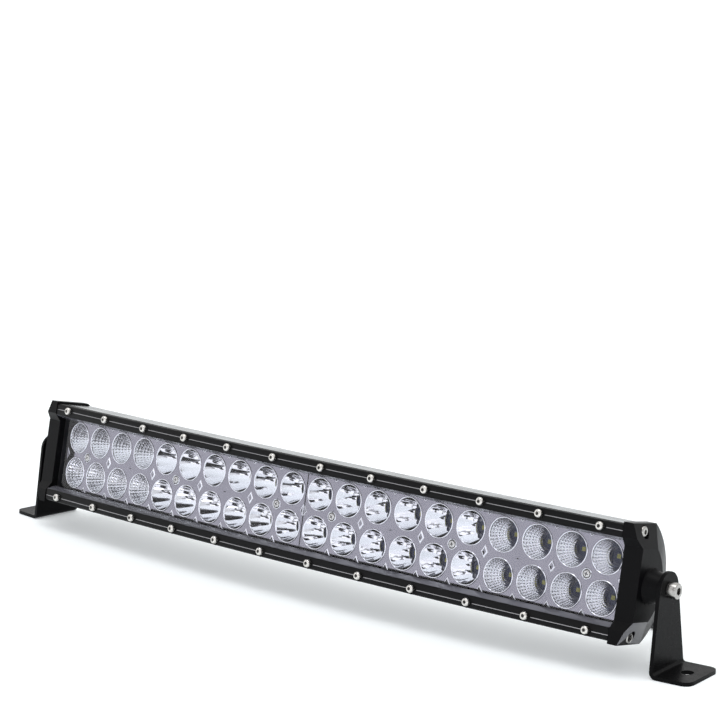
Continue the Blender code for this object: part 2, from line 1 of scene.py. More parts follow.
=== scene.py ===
"""Looks of the curved LED light bar: fine meshes, materials, light and camera.

Bar space is x along the bar, y backwards and z up from the middle of the bezel rails'
front face. A point of the bar is (s, d, z): arc length, depth behind that face, height.
"""

import json
import math

import bmesh
import bpy
from mathutils import Matrix, Vector


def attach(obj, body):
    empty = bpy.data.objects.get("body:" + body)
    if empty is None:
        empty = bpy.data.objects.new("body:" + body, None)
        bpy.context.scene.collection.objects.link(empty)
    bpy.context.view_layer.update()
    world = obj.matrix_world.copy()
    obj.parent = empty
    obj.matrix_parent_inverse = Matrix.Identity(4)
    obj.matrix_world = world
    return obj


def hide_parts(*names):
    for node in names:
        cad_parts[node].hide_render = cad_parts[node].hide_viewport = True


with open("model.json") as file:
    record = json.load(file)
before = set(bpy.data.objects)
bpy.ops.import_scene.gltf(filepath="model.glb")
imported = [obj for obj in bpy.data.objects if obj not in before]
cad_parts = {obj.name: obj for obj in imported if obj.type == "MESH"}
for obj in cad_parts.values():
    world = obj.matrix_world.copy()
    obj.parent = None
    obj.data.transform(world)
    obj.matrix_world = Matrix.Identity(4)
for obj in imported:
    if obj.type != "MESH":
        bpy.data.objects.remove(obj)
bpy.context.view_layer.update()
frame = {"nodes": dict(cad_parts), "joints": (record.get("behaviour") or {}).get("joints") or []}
nodes = frame["nodes"]

MM = 0.001
# Ends of the bar, modules of the reflector and rails, each with its side or number.
ENDS = (("right", 1), ("left", -1))
MODULES = (("left", 0), ("right", 1))
RAILS = (("upper", 1), ("lower", -1))

ARC_RADIUS = 2440 * MM
TILT = math.radians(-12)
# Where the hinges lie in bar space.
HINGE_DEPTH = 35.0 * MM
HINGE_HEIGHT = -7.43 * MM

right_joint = next(j for j in frame["joints"] if j["name"] == "right_bracket_swivel")
HINGE = Vector(right_joint["pos_m"])
HINGE_AXIS = Vector(right_joint["axis"])
BAR_SPACE = (
    Matrix.Translation((0, HINGE.y - HINGE_DEPTH, HINGE.z - HINGE_HEIGHT))
    @ Matrix.Rotation(TILT, 4, "X")
)


# Camera, floor and light

LENS_MM = 126.2
SENSOR_MM = 36
CLIP_END = 60
CAMERA_PLACE = Vector((1.1241, -1.1763, 0.4758))
CAMERA_TARGET = Vector((0.0222, 0.0177, 0.1555))
CAMERA_ROLL = math.radians(-0.24)

FLOOR_HALF = 30
FLOOR_GLOW = (0.95, 0.985, 1)
FLOOR_GLOW_STRENGTH = 0.22

SUN_STRENGTH = 0.7
SUN_ANGLE = math.radians(34)
SUN_DIRECTION = Vector((0.02, 0.10, -1))


def make_camera():
    camera = bpy.data.objects.new("camera", bpy.data.cameras.new("camera"))
    bpy.context.scene.collection.objects.link(camera)
    camera.data.lens = LENS_MM
    camera.data.sensor_width = SENSOR_MM
    camera.data.clip_end = CLIP_END
    aim = (CAMERA_TARGET - CAMERA_PLACE).to_track_quat("-Z", "Y").to_matrix().to_4x4()
    roll = Matrix.Rotation(CAMERA_ROLL, 4, "Z")
    camera.matrix_world = Matrix.Translation(CAMERA_PLACE) @ aim @ roll
    bpy.context.scene.camera = camera


def make_floor():
    half = FLOOR_HALF
    corners = [(-half, -half, 0), (half, -half, 0), (half, half, 0), (-half, half, 0)]
    mesh = bpy.data.meshes.new("floor")
    mesh.from_pydata(corners, [], [(0, 1, 2, 3)])
    floor = bpy.data.objects.new("floor", mesh)
    bpy.context.scene.collection.objects.link(floor)
    shading = Shader("pale_floor")
    shading.set(roughness=0.7, specular=0.1)
    shading.blend(shading.noise(0.8, 2), (0.88, 0.91, 0.92), (0.89, 0.92, 0.93))
    shading.surface.inputs["Emission Color"].default_value = (*FLOOR_GLOW, 1)
    shading.surface.inputs["Emission Strength"].default_value = FLOOR_GLOW_STRENGTH
    mesh.materials.append(shading.material)


def make_sun():
    sun = bpy.data.lights.new("overhead_sun", "SUN")
    sun.energy = SUN_STRENGTH
    sun.angle = SUN_ANGLE
    lamp = bpy.data.objects.new("overhead_sun", sun)
    bpy.context.scene.collection.objects.link(lamp)
    lamp.rotation_euler = SUN_DIRECTION.to_track_quat("-Z", "Y").to_euler()


# Surroundings. An edge is the range over which one colour gives way to the next: of the
# noise for PATCH_EDGE, and of the cosine of the angle from their direction for the others.

AROUND = (1.0, 1.0, 1.0)
FRONT_LOW = (1.25, 1.25, 1.28)
FRONT_DARK = (0.022, 0.022, 0.028)
FRONT_BRIGHT = (1.55, 1.55, 1.57)
OVERHEAD = (1.05, 1.05, 1.08)

PATCH_SCALE = (5.5, 5.5, 2.0)
PATCH_EDGE = (0.47, 0.53)
FRONT = (0.25, -0.95, 0)
FRONT_EDGE = (0.10, 0.30)
UP = (0, 0, 1)
LOW_EDGE = (0.20, 0.26)
HIGH = (0, 0.25, 1)
HIGH_EDGE = (0.80, 0.90)


def smooth_step(tree, value, low, high):
    """0 to 1 as value goes from low to high."""
    mapped = tree.nodes.new("ShaderNodeMapRange")
    mapped.interpolation_type = "SMOOTHSTEP"
    mapped.inputs["From Min"].default_value = low
    mapped.inputs["From Max"].default_value = high
    tree.links.new(value, mapped.inputs["Value"])
    return mapped.outputs["Result"]


def towards(tree, way, direction, edge):
    """0 to 1 as the way looked comes to lie along direction."""
    product = tree.nodes.new("ShaderNodeVectorMath")
    product.operation = "DOT_PRODUCT"
    product.inputs[1].default_value = Vector(direction).normalized()
    tree.links.new(way, product.inputs[0])
    return smooth_step(tree, product.outputs["Value"], *edge)


def patches(tree, way):
    """0 and 1 in patches that are taller than they are wide."""
    stretch = tree.nodes.new("ShaderNodeMapping")
    stretch.inputs["Scale"].default_value = PATCH_SCALE
    tree.links.new(way, stretch.inputs["Vector"])
    noise = tree.nodes.new("ShaderNodeTexNoise")
    noise.inputs["Scale"].default_value = 1.0
    noise.inputs["Detail"].default_value = 1.0
    tree.links.new(stretch.outputs["Vector"], noise.inputs["Vector"])
    return smooth_step(tree, noise.outputs["Fac"], *PATCH_EDGE)


def mixed(tree, factor, first, second):
    """first where factor is 0 and second where it is 1; each is a colour or an output."""
    mix = tree.nodes.new("ShaderNodeMix")
    mix.data_type = "RGBA"
    tree.links.new(factor, mix.inputs["Factor"])
    for socket, value in ((mix.inputs["A"], first), (mix.inputs["B"], second)):
        if isinstance(value, tuple):
            socket.default_value = (*value, 1)
        else:
            tree.links.new(value, socket)
    return mix.outputs["Result"]


def make_world():
    """A studio: plain white all round, except in front.

    The front is bright to a little above the horizon and again overhead, with bright and
    dark patches between.
    """
    world = bpy.data.worlds.new("studio")
    bpy.context.scene.world = world
    world.use_nodes = True
    tree = world.node_tree
    way = tree.nodes.new("ShaderNodeTexCoord").outputs["Generated"]
    patchy = mixed(tree, patches(tree, way), FRONT_BRIGHT, FRONT_DARK)
    front = mixed(tree, towards(tree, way, UP, LOW_EDGE), FRONT_LOW, patchy)
    front = mixed(tree, towards(tree, way, HIGH, HIGH_EDGE), front, OVERHEAD)
    whole = mixed(tree, towards(tree, way, FRONT, FRONT_EDGE), AROUND, front)
    tree.links.new(whole, tree.nodes["Background"].inputs["Color"])


# Materials

RAMP_START = 0.35
RAMP_END = 0.65
NOISE_LOW = 0.3
NOISE_HIGH = 0.7


class Shader:
    """A Principled material with short calls for its node tree."""

    made = {}

    def __init__(self, name):
        self.material = bpy.data.materials.new(name)
        self.material.use_nodes = True
        self.tree = self.material.node_tree
        self.surface = self.tree.nodes["Principled BSDF"]
        self.coordinates = self.tree.nodes.new("ShaderNodeTexCoord").outputs["Object"]
        Shader.made[name] = self

    def set(self, metallic=0.0, roughness=0.5, specular=0.5):
        self.surface.inputs["Metallic"].default_value = metallic
        self.surface.inputs["Roughness"].default_value = roughness
        self.surface.inputs["Specular IOR Level"].default_value = specular

    def node(self, kind, **values):
        node = self.tree.nodes.new(kind)
        for key, value in values.items():
            setattr(node, key, value)
        return node

    def noise(self, scale, detail):
        texture = self.node("ShaderNodeTexNoise")
        texture.inputs["Scale"].default_value = scale
        texture.inputs["Detail"].default_value = detail
        self.tree.links.new(self.coordinates, texture.inputs["Vector"])
        return texture.outputs["Fac"]

    def spread(self, source, low, high):
        """A noise output mapped to low..high."""
        mapped = self.node("ShaderNodeMapRange")
        mapped.inputs["From Min"].default_value = NOISE_LOW
        mapped.inputs["From Max"].default_value = NOISE_HIGH
        mapped.inputs["To Min"].default_value = low
        mapped.inputs["To Max"].default_value = high
        self.tree.links.new(source, mapped.inputs["Value"])
        return mapped.outputs["Result"]

    def blend(self, source, first, second):
        ramp = self.node("ShaderNodeValToRGB")
        ramp.color_ramp.elements[0].position = RAMP_START
        ramp.color_ramp.elements[0].color = (*first, 1)
        ramp.color_ramp.elements[1].position = RAMP_END
        ramp.color_ramp.elements[1].color = (*second, 1)
        self.tree.links.new(source, ramp.inputs["Fac"])
        self.tree.links.new(ramp.outputs["Color"], self.surface.inputs["Base Color"])

    def roughen(self, source, low, high):
        self.tree.links.new(self.spread(source, low, high), self.surface.inputs["Roughness"])

    def bump(self, source, height):
        bump = self.node("ShaderNodeBump")
        bump.inputs["Distance"].default_value = height
        bump.inputs["Strength"].default_value = 1.0
        self.tree.links.new(source, bump.inputs["Height"])
        self.tree.links.new(bump.outputs["Normal"], self.surface.inputs["Normal"])


def black_anodised(name, grain, height, roughness, specular=0.12, shade=0.002):
    shader = Shader(name)
    shader.set(specular=specular)
    dark = (shade, shade, 1.15 * shade)
    light = (1.7 * shade, 1.7 * shade, 2 * shade)
    shader.blend(shader.noise(9, 3), dark, light)
    shader.roughen(shader.noise(60, 4), *roughness)
    shader.bump(shader.noise(grain, 2), height)


def black_powder_coat():
    shader = Shader("black_powder_coat")
    shader.set(specular=0.06)
    shader.blend(shader.noise(25, 3), (0.002, 0.002, 0.0023), (0.0035, 0.0035, 0.004))
    shader.roughen(shader.noise(300, 3), 0.26, 0.36)
    shader.bump(shader.noise(1400, 2), 0.00004)


def chrome(name, colour, roughness, ripple=0.0, metallic=1.0):
    shader = Shader(name)
    shader.set(metallic=metallic)
    shader.blend(shader.noise(40, 2), colour, tuple(0.94 * c for c in colour))
    shader.roughen(shader.noise(180, 3), *roughness)
    shader.bump(shader.noise(120, 2), ripple)


def screw_steel(name, first, second):
    shader = Shader(name)
    shader.set(metallic=1.0)
    shader.blend(shader.noise(900, 3), first, second)
    shader.roughen(shader.noise(1500, 3), 0.16, 0.30)
    shader.bump(shader.noise(1800, 2), 0.00001)


# Very dark metal for recess floors and the wells round the reflector screws: painted shade.
def socket_painted_shade():
    shader = Shader("socket_painted_shade")
    shader.set(metallic=1.0, roughness=0.5)
    shader.blend(shader.noise(900, 3), (0.05, 0.05, 0.05), (0.10, 0.10, 0.10))


def soft_black(name, colour, roughness):
    shader = Shader(name)
    shader.set(specular=0.4)
    shader.blend(shader.noise(50, 3), colour, tuple(1.6 * c for c in colour))
    shader.roughen(shader.noise(400, 3), *roughness)
    shader.bump(shader.noise(1500, 3), 0.00004)


def board(name, first, second):
    shader = Shader(name)
    shader.set(specular=0.5)
    shader.blend(shader.noise(300, 3), first, second)
    shader.roughen(shader.noise(200, 2), 0.3, 0.45)


def led_phosphor():
    shader = Shader("led_phosphor")
    shader.set(specular=0.6)
    shader.blend(shader.noise(1200, 2), (0.22, 0.21, 0.045), (0.28, 0.27, 0.065))
    shader.roughen(shader.noise(800, 2), 0.2, 0.35)


def red_insulation():
    shader = Shader("red_insulation")
    shader.set()
    shader.blend(shader.noise(300, 2), (0.45, 0.012, 0.012), (0.55, 0.02, 0.018))
    shader.roughen(shader.noise(500, 2), 0.3, 0.42)


def clear_lens():
    """A clear pane: see-through, with the gloss of its outer faces."""
    shader = Shader("clear_lens")
    link = shader.tree.links.new
    clear = shader.node("ShaderNodeBsdfTransparent")
    clear.inputs["Color"].default_value = (0.95, 0.955, 0.97, 1)
    gloss = shader.node("ShaderNodeBsdfGlossy")
    link(shader.spread(shader.noise(30, 2), 0.02, 0.05), gloss.inputs["Roughness"])
    fresnel = shader.node("ShaderNodeFresnel")
    fresnel.inputs["IOR"].default_value = 1.4
    facing_out = shader.node("ShaderNodeMath", operation="SUBTRACT")
    facing_out.inputs[0].default_value = 1
    link(shader.node("ShaderNodeNewGeometry").outputs["Backfacing"], facing_out.inputs[1])
    share = shader.node("ShaderNodeMath", operation="MULTIPLY")
    link(fresnel.outputs["Fac"], share.inputs[0])
    link(facing_out.outputs["Value"], share.inputs[1])
    mix = shader.node("ShaderNodeMixShader")
    link(share.outputs["Value"], mix.inputs[0])
    link(clear.outputs["BSDF"], mix.inputs[1])
    link(gloss.outputs["BSDF"], mix.inputs[2])
    link(mix.outputs["Shader"], shader.tree.nodes["Material Output"].inputs["Surface"])


def make_materials():
    black_anodised("black_anodised", 2600, 0.00003, (0.30, 0.42))
    black_anodised("smooth_anodised", 1500, 0.00001, (0.14, 0.20))
    black_anodised("blasted_cap", 2200, 0.00006, (0.30, 0.40), specular=0.07)
    # A lighter black as a painted sheen on the rail ledges and the end caps' lower facets, with a
    # strong real reflection too.
    black_anodised("anodised_painted_sheen", 2600, 0.00002, (0.16, 0.24), specular=1.0, shade=0.075)
    black_powder_coat()
    chrome("chrome_cup", (0.95, 0.95, 0.965), (0.02, 0.04))
    chrome("chrome_rim", (0.95, 0.95, 0.98), (0.10, 0.16))
    chrome("chrome_plate", (0.31, 0.30, 0.335), (0.07, 0.12), ripple=0.00001)
    # Dark chrome for the dots of painted shade where the flood cups' pillows meet.
    chrome("chrome_painted_shade", (0.10, 0.10, 0.12), (0.10, 0.16))
    # Satin metal for the painted highlight on the lit face of the rails' scribed groove.
    chrome("groove_painted_highlight", (0.42, 0.42, 0.44), (0.3, 0.4), metallic=0.9)
    screw_steel("bright_steel", (0.74, 0.72, 0.68), (0.60, 0.59, 0.57))
    screw_steel("grey_steel", (0.46, 0.45, 0.43), (0.36, 0.35, 0.34))
    socket_painted_shade()
    soft_black("black_rubber", (0.010, 0.010, 0.011), (0.5, 0.65))
    soft_black("cable_black", (0.008, 0.008, 0.009), (0.38, 0.5))
    board("circuit_board", (0.010, 0.014, 0.045), (0.018, 0.024, 0.065))
    board("green_board", (0.01, 0.12, 0.04), (0.02, 0.17, 0.06))
    led_phosphor()
    red_insulation()
    clear_lens()


def paint(piece, name):
    """Give a CAD node or a curve, as it is, one material."""
    piece.data.materials.clear()
    piece.data.materials.append(Shader.made[name].material)


# Shapes

WELD = 0.002 * MM
FLAT_ANGLE = math.radians(0.4)


def at_arc(s):
    turn = Matrix.Rotation(s / ARC_RADIUS, 4, "Z")
    centre = Matrix.Translation((0, ARC_RADIUS, 0))
    return centre @ turn @ centre.inverted()


def facing(s, d, z):
    """World frame at a point of the bar: x along the bar, y up it, z out of its front."""
    turn = Matrix.Rotation(math.pi / 2, 4, "X")
    return BAR_SPACE @ at_arc(s) @ Matrix.Translation((0, d, z)) @ turn


def bar_vertex(bm, s, d, z):
    return bm.verts.new(BAR_SPACE @ at_arc(s) @ Vector((0, d, z)))


def ring_points(radius, count, turn=0.0):
    points = []
    for i in range(count):
        angle = math.tau * i / count + turn
        points.append((radius * math.cos(angle), radius * math.sin(angle)))
    return points


def bridge(bm, first, second):
    """A closed strip of four-sided faces between two rings of as many vertices."""
    faces = []
    for i, (a, b) in enumerate(zip(first, second)):
        j = (i + 1) % len(first)
        faces.append(bm.faces.new((a, first[j], second[j], b)))
    return faces


def finish_piece(name, bm, body, materials, stands_for, smooth_angle):
    """Make a piece of bm, with its normals outwards and its edges sharp above smooth_angle."""
    bmesh.ops.recalc_face_normals(bm, faces=bm.faces)
    mesh = bpy.data.meshes.new(name)
    bm.to_mesh(mesh)
    bm.free()
    mesh.shade_smooth()
    mesh.set_sharp_from_angle(angle=math.radians(smooth_angle))
    piece = bpy.data.objects.new(name, mesh)
    bpy.context.scene.collection.objects.link(piece)
    for material in materials:
        mesh.materials.append(Shader.made[material].material)
    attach(piece, body)
    if stands_for:
        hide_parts(stands_for)
    return piece


def refined(node, body, materials, width, segments, angle):
    """A copy of a CAD node with its flat facets merged and its edges rounded."""
    bm = bmesh.new()
    bm.from_mesh(nodes[node].data)
    bmesh.ops.remove_doubles(bm, verts=bm.verts, dist=WELD)
    bmesh.ops.dissolve_limit(bm, angle_limit=FLAT_ANGLE, verts=bm.verts, edges=bm.edges)
    piece = finish_piece(node + "_fine", bm, body, materials, node, angle)
    rounding = piece.modifiers.new("rounded_edges", "BEVEL")
    rounding.width = width
    rounding.segments = segments
    rounding.limit_method = "ANGLE"
    rounding.angle_limit = math.radians(angle)
    rounding.harden_normals = True
    rounding.use_clamp_overlap = True
    return piece


# Bezel rails

RAIL_HALF = 256 * MM
RAIL_STEPS = 44
RAIL_SMOOTH = 28
SCREWS_IN_ROW = 12
SCREW_PITCH = 43.8 * MM
SCREW_ROW = 31.5 * MM
# Upper rail's section as (d, z) in mm: the scribed line, the ledge down to the lens and
# the outer edge.
RAIL_SECTION = (
    (0.0, 32.0), (0.3, 31.6), (0.3, 31.4), (0.0, 31.0),
    (0.0, 27.6), (0.1, 27.3), (0.5, 27.0), (7.0, 24.85), (7.3, 24.8), (8.1, 24.8), (8.1, 28.7),
    (3.0, 28.7), (3.0, 35.1), (2.9, 35.2), (0.9, 35.2), (0.15, 34.6), (0.0, 34.3),
)
# Sides of the section, by their first point.
SCRIBED_OUTER = 0
SCRIBED_INNER = 2
LEDGE = 6
# Finishes: the rail's black, a painted highlight on the groove's lit face, and a painted sheen on
# the ledge.
RAIL_FINISHES = ["black_anodised", "groove_painted_highlight", "anodised_painted_sheen"]

SEAT_RADIUS = 3.7 * MM
SEAT_SIDES = 32
SEAT_BOTTOM = -0.4 * MM
SEAT_TOP = 0.05 * MM


def screw_arc(i):
    """Arc length of a bezel screw, counted from the left."""
    return (i - (SCREWS_IN_ROW - 1) / 2) * SCREW_PITCH


def make_rails():
    """Bezel rails, each with a fine line scribed along its row of screws and a painted highlight on
    the line's lit face.
    """
    for label, side in RAILS:
        bm = bmesh.new()
        rings = []
        for i in range(RAIL_STEPS + 1):
            station = BAR_SPACE @ at_arc(RAIL_HALF * (2 * i / RAIL_STEPS - 1))
            section = [Vector((0, d * MM, side * z * MM)) for d, z in RAIL_SECTION]
            rings.append([bm.verts.new(station @ point) for point in section])
        # Only the groove's face towards the light gets the painted highlight.
        lit_side = SCRIBED_INNER if side > 0 else SCRIBED_OUTER
        for first, second in zip(rings, rings[1:]):
            faces = bridge(bm, first, second)
            faces[lit_side].material_index = RAIL_FINISHES.index("groove_painted_highlight")
            # The ledge gets the lighter black of the painted sheen.
            faces[LEDGE].material_index = RAIL_FINISHES.index("anodised_painted_sheen")
        bm.faces.new(rings[0])
        bm.faces.new(rings[-1])
        node = f"bezel_rail_{label}"
        rail = finish_piece(
            node + "_fine", bm, "bar", RAIL_FINISHES, node, RAIL_SMOOTH
        )
        add_screw_seats(rail, side)


def add_screw_seats(rail, side):
    """Flat spots round the screws, where the scribed line stops."""
    bm = bmesh.new()
    bm.from_mesh(rail.data)
    for i in range(SCREWS_IN_ROW):
        frame_at = facing(screw_arc(i), 0, side * SCREW_ROW)
        rim = ring_points(SEAT_RADIUS, SEAT_SIDES)
        low, high = (
            [bm.verts.new(frame_at @ Vector((x, y, h))) for x, y in rim]
            for h in (SEAT_BOTTOM, SEAT_TOP)
        )
        bridge(bm, low, high)
        bm.faces.new(high)
        bm.faces.new(list(reversed(low)))
    bm.to_mesh(rail.data)
    bm.free()
    rail.data.set_sharp_from_angle(angle=math.radians(RAIL_SMOOTH))


# Reflectors

LED_PITCH = 25.4 * MM
MODULE_COLUMNS = 10
FIRST_SPOT = 4
LAST_SPOT = 15
MODULE_GAP = 0.4 * MM
PLATE_DEPTH = 12.5 * MM
SKIRT = 4 * MM
REFLECTOR_WELD = 0.005 * MM
REFLECTOR_SMOOTH = 16

CUP_DEPTH = 14.8 * MM
CUP_RADIUS = 10.5 * MM
CUP_THROAT = 5 * MM
CUP_TAPER = 1.15
# Rim of a cup as (radius, depth behind the plate) in mm.
RIM_PROFILE = ((11.3, 0.0), (11.2, -0.35), (11.0, -0.5), (10.75, -0.5), (10.55, -0.35))

# A flood cup's wall is peened in rows of pillows. A spot cup's has faint flutes, as
# (how many, depth as a share of the radius, turn).
FACETS_ROUND = 30
FACET_ROWS = 7
FACET_STEPS = 3
FACET_SAG = 0.024
CUP_STEPS = FACETS_ROUND * FACET_STEPS
CUP_RINGS = FACET_ROWS * FACET_STEPS
FLUTES = ((9, 0.0030, 0.4), (16, 0.0024, 2.1), (27, 0.0013, 4.0))

CHROMES = ["chrome_plate", "chrome_rim", "chrome_cup", "socket_painted_shade", "chrome_painted_shade"]
PLATE, RIM, CUP, SOCKET, SHADE = range(len(CHROMES))

STAR_ACROSS = 2.7 * MM
STAR_UP = 4.4 * MM
STAR_HEIGHT = 0.45 * MM
STAR_EDGE = 25.35 * MM
UPPER_STAR = 0.6
# A star's rings as (share of its outline, height), from the plate to its sunken middle.
STAR_RINGS = ((1.0, -0.02 * MM), (0.80, STAR_HEIGHT), (0.62, STAR_HEIGHT), (0.15, 0.1 * MM))

ROUND_SIDES = 40
SCREW_GAPS = (1, 5, 9)
SCREW_RING = ((3.6, 0.0), (3.4, 0.4), (3.15, 0.5), (2.9, 0.35), (2.8, 0.03))
SCREW_WELL = ((2.85, 0.03), (1.5, 0.03))


def module_start(module):
    return (module - 1) * MODULE_COLUMNS * LED_PITCH


def module_cups(module):
    """Each cup of a module as (s, z, whether it is a flood cup)."""
    for column in range(module * MODULE_COLUMNS, (module + 1) * MODULE_COLUMNS):
        s = (column - MODULE_COLUMNS + 0.5) * LED_PITCH
        for z in (LED_PITCH / 2, -LED_PITCH / 2):
            yield s, z, column < FIRST_SPOT or column > LAST_SPOT


def square_point(angle, half):
    across, up = math.cos(angle), math.sin(angle)
    reach = half / max(abs(across), abs(up))
    return reach * across, reach * up


def cup_radius(radius, around, along, flood):
    """A wall radius with a flood cup's peened pillows or a spot cup's faint flutes."""
    if flood:
        u = 2 * ((FACETS_ROUND * around) % 1) - 1
        v = 2 * ((FACET_ROWS * along) % 1) - 1
        return radius * (1 - FACET_SAG * (1 - u * u) * (1 - v * v))
    waves = sum(size * math.sin(k * math.tau * around + turn) for k, size, turn in FLUTES)
    return radius * (1 + waves * math.sin(math.pi * along))


def cup_walls(flood):
    """Rings of a cup's wall from its rim to its throat, as depths and (x, y) points."""
    drop = 1 - (CUP_THROAT / CUP_RADIUS) ** 2
    for k in range(CUP_RINGS + 1):
        along = k / CUP_RINGS
        radius = CUP_RADIUS + (CUP_THROAT - CUP_RADIUS) * along ** CUP_TAPER
        depth = PLATE_DEPTH + CUP_DEPTH * (1 - (radius / CUP_RADIUS) ** 2) / drop
        points = []
        for i in range(CUP_STEPS):
            share = i / CUP_STEPS
            r = cup_radius(radius, share, along, flood)
            points.append((r * math.cos(math.tau * share), r * math.sin(math.tau * share)))
        yield depth, points


def add_cup(bm, s, z, flood, start):
    """One cell of the reflector: its square of plate, its raised rim and its cup.

    A flood cup has a dark dot of painted shade at a corner of each of its pillows, where their
    creases meet.
    """
    low = start + MODULE_GAP - s
    high = start + MODULE_COLUMNS * LED_PITCH - MODULE_GAP - s
    square = [square_point(math.tau * i / CUP_STEPS, LED_PITCH / 2) for i in range(CUP_STEPS)]
    outline = [(min(max(x, low), high), y) for x, y in square]
    levels = [(PLATE_DEPTH, outline)]
    for radius, depth in RIM_PROFILE:
        levels.append((PLATE_DEPTH + depth * MM, ring_points(radius * MM, CUP_STEPS)))
    wall = len(levels)
    levels += cup_walls(flood)
    rings = [[bar_vertex(bm, s + x, depth, z + y) for x, y in points] for depth, points in levels]
    for k, (first, second) in enumerate(zip(rings, rings[1:])):
        finish = PLATE if k == 0 else RIM if k < wall else CUP
        # Rows and columns at the pillows' creases meet in dots of painted shade.
        painted_shade_row = flood and k >= wall and (k - wall) % FACET_STEPS == 0
        for i, face in enumerate(bridge(bm, first, second)):
            face.material_index = SHADE if painted_shade_row and i % FACET_STEPS == 0 else finish


def add_turned(bm, s, profile, finish):
    """A ring turned round an axis on the plate's middle line; profile is (radius, height) in mm."""
    rings = []
    for radius, height in profile:
        points = ring_points(radius * MM, ROUND_SIDES)
        rings.append([bar_vertex(bm, s + x, PLATE_DEPTH - height * MM, y) for x, y in points])
    for first, second in zip(rings, rings[1:]):
        for face in bridge(bm, first, second):
            face.material_index = finish


def add_star(bm, s, corners):
    """A small raised frame on the plate with a sunken middle; corners are (x, z)."""
    middle = [sum(values) / len(corners) for values in zip(*corners)]
    rings = []
    for share, lift in STAR_RINGS:
        ring = []
        for x, z in corners:
            place = (middle[0] + share * (x - middle[0]), middle[1] + share * (z - middle[1]))
            ring.append(bar_vertex(bm, s + place[0], PLATE_DEPTH - lift, place[1]))
        rings.append(ring)
    for k, (first, second) in enumerate(zip(rings, rings[1:])):
        for face in bridge(bm, first, second):
            face.material_index = RIM if k < 2 else PLATE
    bm.faces.new(rings[-1])


def add_stars(bm, start):
    """Diamonds along the plate's middle, halved at its ends, and triangles at its long edges."""
    for gap in range(0, MODULE_COLUMNS + 1, 2):
        left = 0 if gap == 0 else STAR_ACROSS
        right = 0 if gap == MODULE_COLUMNS else STAR_ACROSS
        corners = [(-left, 0), (0, -STAR_UP), (right, 0), (0, STAR_UP)]
        corners = [corner for corner in corners if corner != (0, 0)]
        inset = MODULE_GAP * ((gap == 0) - (gap == MODULE_COLUMNS))
        add_star(bm, start + gap * LED_PITCH + inset, corners)
    for gap in range(1, MODULE_COLUMNS):
        for side, reach in ((1, UPPER_STAR * STAR_UP), (-1, STAR_UP)):
            tip = (0, side * (STAR_EDGE - reach))
            corners = [(-STAR_ACROSS, side * STAR_EDGE), (STAR_ACROSS, side * STAR_EDGE), tip]
            add_star(bm, start + gap * LED_PITCH, corners)


def add_skirt(bm):
    """Turn the plate's outer edges back into a short wall."""
    edges = [e for e in bm.edges if e.is_boundary and e.link_faces[0].material_index == PLATE]
    back = BAR_SPACE.to_3x3() @ Vector((0, SKIRT, 0))
    behind = {}
    for edge in edges:
        for vertex in edge.verts:
            if vertex not in behind:
                behind[vertex] = bm.verts.new(vertex.co + back)
        first, second = edge.verts
        bm.faces.new((first, second, behind[second], behind[first]))


def make_reflectors():
    for label, module in MODULES:
        bm = bmesh.new()
        start = module_start(module)
        for s, z, flood in module_cups(module):
            add_cup(bm, s, z, flood, start)
        bmesh.ops.remove_doubles(bm, verts=bm.verts, dist=REFLECTOR_WELD)
        add_skirt(bm)
        add_stars(bm, start)
        for gap in SCREW_GAPS:
            add_turned(bm, start + gap * LED_PITCH, SCREW_RING, RIM)
            # The well round each screw is painted shade.
            add_turned(bm, start + gap * LED_PITCH, SCREW_WELL, SOCKET)
        node = f"reflector_{label}"
        finish_piece(node + "_fine", bm, "bar", CHROMES, node, REFLECTOR_SMOOTH)


# LED chips

CHIP_FRONT = 26.25 * MM
CHIP_SMOOTH = 40
# A chip's square face as (distance of its corners from its middle, height) in mm.
CHIP_PROFILE = ((1.85, 0.0), (1.80, 0.22), (1.60, 0.30))


def make_led_chips():
    """Phosphor faces of the LED chips, just in front of their packages."""
    for label, module in MODULES:
        bm = bmesh.new()
        for s, z, _ in module_cups(module):
            rings = []
            for corner, height in CHIP_PROFILE:
                depth = CHIP_FRONT - height * MM
                points = ring_points(corner * MM, 4, math.pi / 4)
                rings.append([bar_vertex(bm, s + x, depth, z + y) for x, y in points])
            for first, second in zip(rings, rings[1:]):
                bridge(bm, first, second)
            bm.faces.new(rings[0])
            bm.faces.new(rings[-1])
        name = f"led_phosphors_{label}"
        finish_piece(name, bm, "bar", ["led_phosphor"], None, CHIP_SMOOTH)


# Screws and bolts

SCREW_SMOOTH = 30
DOME_NARROWING = 0.42
DOME_STEPS = 6
RECESS_TAPER = 0.86

BEZEL_SCREW_LIFT = 0.3 * MM
BEZEL_SCREW_TURN = 0.7
BEZEL_ROW_TURN = 1.26
CAP_ARC = 257 * MM
CAP_SEAT = 6.3 * MM
# Cap screws as (d, z).
CAP_SCREW_PLACES = ((11 * MM, 31.8 * MM), (11 * MM, -31.8 * MM), (42.4 * MM, 0.0))
CAP_SCREW_TURN = 0.3
# Bolt head as (radius, height) in mm.
BOLT_PROFILE = ((5.0, 0.0), (5.0, 4.9), (4.75, 5.6), (4.2, 6.0))
BOLT_LIFT = 0.3 * MM
BOLT_TURN = 0.35
REFLECTOR_SCREW_START = 0.5
REFLECTOR_SCREW_TURN = 1.1


def dome(radius, height, edge):
    """Profile of a domed head from its seat to the flat round its recess."""
    points = [(radius, 0.0), (radius, edge)]
    for i in range(1, DOME_STEPS + 1):
        angle = math.pi / 2 * i / DOME_STEPS
        narrowed = radius * (1 - DOME_NARROWING * (1 - math.cos(angle)))
        points.append((narrowed, edge + (height - edge) * math.sin(angle)))
    return points


def cross_points(reach, half):
    """Outline of a cross recess: twelve corners of two crossed slots."""
    quarter = [(reach, -half), (reach, half), (half, half)]
    points = []
    for i in range(4):
        turn = Matrix.Rotation(i * math.pi / 2, 2)
        points += [tuple(turn @ Vector(p)) for p in quarter]
    return points


